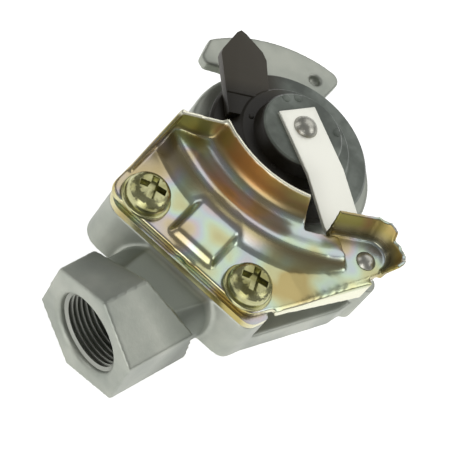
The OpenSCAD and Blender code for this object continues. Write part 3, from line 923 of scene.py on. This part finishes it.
@dataclass
class SwingingCover:
    """Dust cap on its spring strip, with the seal below and the pivot beside it."""

    cap_edge_mm: float = 0.6
    cap_crease: float = 25.0
    metal_edge_mm: float = 0.15
    tab_heading: float = 39.5
    fold_at_mm: tuple[float, float, float] = (12.2, 13.6, 6.4)
    fold_size_mm: tuple[float, float, float] = (1.0, 12.2, 0.8)
    fold_edge_mm: float = 0.3
    pip_rise: float = 0.42
    pip_sink_mm: float = 0.2
    pip_crease: float = 50.0
    pips: tuple[tuple[float, float, float, float], ...] = (
        (10.5, 64.0, 11.9, 1.25),
        (10.4, 43.0, 11.9, 1.25),
        (10.5, -44.0, 11.9, 1.25),
        (14.0, 111.0, 7.1, 0.8),
        (13.4, 183.0, 7.1, 0.8),
        (13.6, 255.0, 7.1, 0.8),
    )
    rows: tuple[tuple[str, str, Look, Rider], ...] = (
        ("face_seal", "seal_ring", Look.SEAL, Rider.HEAD),
        ("cover_spring", "spring_strip", Look.STRIP, Rider.COVER),
        ("cap_rivet", "cap_rivet_head", Look.RIVET, Rider.COVER),
        ("cap_rivet_washer", "cap_rivet_ring", Look.RIVET, Rider.COVER),
        ("pivot_rivet", "pivot_rivet_head", Look.RIVET, Rider.HEAD),
        ("pivot_washer", "pivot_ring", Look.RIVET, Rider.HEAD),
    )

    def build(self, shop: Workshop) -> None:
        """Builds and dresses the cover and its pivot.

        Args:
            shop: Materials and tools.
        """
        cap = shop.copy_of("dust_cap", "moulded_cap")
        shop.soften(cap, self.cap_edge_mm, angle=self.cap_crease)
        shop.finish(cap, Look.CAP, Rider.COVER, "dust_cap")
        for count, (radius, angle, height, size) in enumerate(self.pips):
            turn = math.radians(angle)
            place = Vector((radius * math.cos(turn), radius * math.sin(turn), height))
            shop.finish(self.pip(place, size, count), Look.CAP, Rider.COVER)
        shop.finish(self.fold(shop), Look.CAP, Rider.COVER)
        for node, name, look, rider in self.rows:
            piece = shop.copy_of(node, name)
            shop.soften(piece, self.metal_edge_mm)
            shop.finish(piece, look, rider, node)

    def fold(self, shop: Workshop) -> bpy.types.Object:
        """Moulds the low ridge across the root of the cap's tab.

        Args:
            shop: Materials and tools.

        Returns:
            The ridge, in place.
        """
        turn = math.radians(self.tab_heading)
        bpy.ops.object.select_all(action="DESELECT")
        bpy.ops.mesh.primitive_cube_add(size=1.0)
        ridge = bpy.context.object
        ridge.name = "tab_fold"
        size = Matrix.Diagonal((*(c * MM for c in self.fold_size_mm), 1.0))
        place = Matrix.Translation(Vector(self.fold_at_mm) * MM)
        ridge.data.transform(Matrix.Rotation(turn, 4, "Z") @ place @ size)
        shop.soften(ridge, self.fold_edge_mm)
        return ridge

    def pip(self, place: Vector, size: float, count: int) -> bpy.types.Object:
        """Moulds one low round pip on the cap.

        Args:
            place: Middle of its foot, in millimetres.
            size: Radius of its foot, in millimetres.
            count: Number that keeps its name apart.

        Returns:
            The pip, in place.
        """
        bpy.ops.object.select_all(action="DESELECT")
        bpy.ops.mesh.primitive_uv_sphere_add(segments=24, ring_count=12, radius=size * MM)
        pip = bpy.context.object
        pip.name = f"cap_pip_{count}"
        flatten = Matrix.Diagonal((1.0, 1.0, self.pip_rise, 1.0))
        pip.data.transform(Matrix.Translation(place * MM) @ flatten)
        bpy.ops.object.mode_set(mode="EDIT")
        bpy.ops.mesh.select_all(action="SELECT")
        foot = (place - Vector((0.0, 0.0, self.pip_sink_mm))) * MM
        bpy.ops.mesh.bisect(
            plane_co=foot,
            plane_no=(0.0, 0.0, 1.0),
            use_fill=True,
            clear_inner=True,
            threshold=MERGE_MM * MM,
        )
        bpy.ops.object.mode_set(mode="OBJECT")
        bpy.ops.object.shade_smooth_by_angle(angle=math.radians(self.pip_crease))
        return pip


@dataclass
class Studio:
    """White floor, soft lamps and the camera at the photo's viewing angle."""

    frame_px: float = 458.0
    focal_px: float = 2166.0
    centre_px: tuple[float, float] = (287.59, 148.86)
    target_mm: tuple[float, float, float] = (0.0, 0.0, 2.0)
    distance_mm: float = 600.0
    toward: tuple[float, float, float] = (-0.694, -0.032, 0.719)
    right: tuple[float, float, float] = (0.497, -0.745, 0.446)
    sensor_mm: float = 36.0
    clip_m: tuple[float, float] = (0.01, 20.0)
    floor_gap_mm: float = 1.0
    floor_m: float = 8.0
    floor_white: str = "#F4F4F4"
    floor_glow: float = 0.72
    surround: float = 0.24
    softboxes: tuple[tuple[str, tuple[float, float, float], float, float], ...] = (
        ("key_softbox", (-0.97, -0.12, 0.3), 0.7, 3.8),
        ("rear_softbox", (0.62, 0.0, 0.64), 0.85, 2.3),
        ("right_softbox", (0.25, -0.72, 0.66), 0.5, 1.7),
        ("left_softbox", (-0.2, 0.8, 0.35), 0.5, 1.0),
    )

    def build(self) -> None:
        """Builds the studio."""
        self.floor()
        self.lamps()
        self.camera()
        self.world()
        bpy.context.scene.view_settings.view_transform = "Standard"

    def camera(self) -> None:
        """Aims the camera so that the frame's middle lies on its axis."""
        back = Vector(self.toward).normalized()
        right = (Vector(self.right) - back * back.dot(Vector(self.right))).normalized()
        up = back.cross(right)
        place = Vector(self.target_mm) * MM + back * self.distance_mm * MM
        half = self.frame_px / 2
        across, down = half - self.centre_px[0], self.centre_px[1] - half
        ahead = -back * self.focal_px + right * across + up * down
        back = -ahead.normalized()
        right = (right - back * back.dot(right)).normalized()
        up = back.cross(right)
        bpy.ops.object.select_all(action="DESELECT")
        bpy.ops.object.camera_add()
        camera = bpy.context.object
        camera.name = "photo_camera"
        turn = Matrix((right, up, back)).transposed().to_4x4()
        camera.matrix_world = Matrix.Translation(place) @ turn
        camera.data.sensor_fit = "HORIZONTAL"
        camera.data.sensor_width = self.sensor_mm
        camera.data.lens = self.sensor_mm * self.focal_px / self.frame_px
        camera.data.clip_start, camera.data.clip_end = self.clip_m
        bpy.context.scene.camera = camera

    def floor(self) -> None:
        """Lays a white floor below the part that still takes its shadow."""
        bpy.ops.object.select_all(action="DESELECT")
        low = CAD_BOX[0][2] - self.floor_gap_mm * MM
        bpy.ops.mesh.primitive_plane_add(size=self.floor_m, location=(0.0, 0.0, low))
        floor = bpy.context.object
        floor.name = "studio_floor"
        material = bpy.data.materials.new("white_floor")
        material.use_nodes = True
        tree = material.node_tree
        tree.nodes.clear()
        path = add_node(tree, "ShaderNodeLightPath")
        seen = path.outputs["Is Camera Ray"]
        for ray in ("Is Glossy Ray", "Is Transmission Ray"):
            rays = {0: seen, 1: path.outputs[ray]}
            seen = add_node(tree, "ShaderNodeMath", rays, operation="MAXIMUM").outputs[0]
        paint = add_node(tree, "ShaderNodeBsdfDiffuse", {"Color": linear(self.floor_white)})
        shine = {"Color": linear(WHITE), "Strength": self.floor_glow}
        glow = add_node(tree, "ShaderNodeEmission", shine)
        lit = add_node(tree, "ShaderNodeAddShader", {0: paint.outputs[0], 1: glow.outputs[0]})
        mix = add_node(tree, "ShaderNodeMixShader", {0: seen, 1: paint.outputs[0], 2: lit.outputs[0]})
        add_node(tree, "ShaderNodeOutputMaterial", {"Surface": mix.outputs[0]})
        floor.data.materials.append(material)

    def lamps(self) -> None:
        """Hangs a key lamp on the port's side, a large one beyond the part and two fills."""
        for name, place, size, power in self.softboxes:
            bpy.ops.object.select_all(action="DESELECT")
            bpy.ops.object.light_add(type="AREA", location=place)
            lamp = bpy.context.object
            lamp.name = name
            lamp.data.shape = "SQUARE"
            lamp.data.size = size
            lamp.data.energy = power
            lamp.rotation_euler = Vector(place).to_track_quat("Z", "Y").to_euler()

    def world(self) -> None:
        """Sets an even dim surround; the white behind the part is the floor's."""
        world = bpy.data.worlds.new("dim_surround")
        bpy.context.scene.world = world
        world.use_nodes = True
        tree = world.node_tree
        tree.nodes.clear()
        light = {"Color": linear(WHITE), "Strength": self.surround}
        dim = add_node(tree, "ShaderNodeBackground", light)
        add_node(tree, "ShaderNodeOutputWorld", {"Surface": dim.outputs[0]})


def main() -> None:
    """Builds the casting, the plates, the cover and the studio."""
    logging.basicConfig(level=logging.INFO, format="%(name)s %(message)s")
    shop = Workshop()
    Casting().build(shop)
    ClawPlate().build(shop)
    SwingingCover().build(shop)
    Studio().build()


if __name__ == "__main__":
    main()
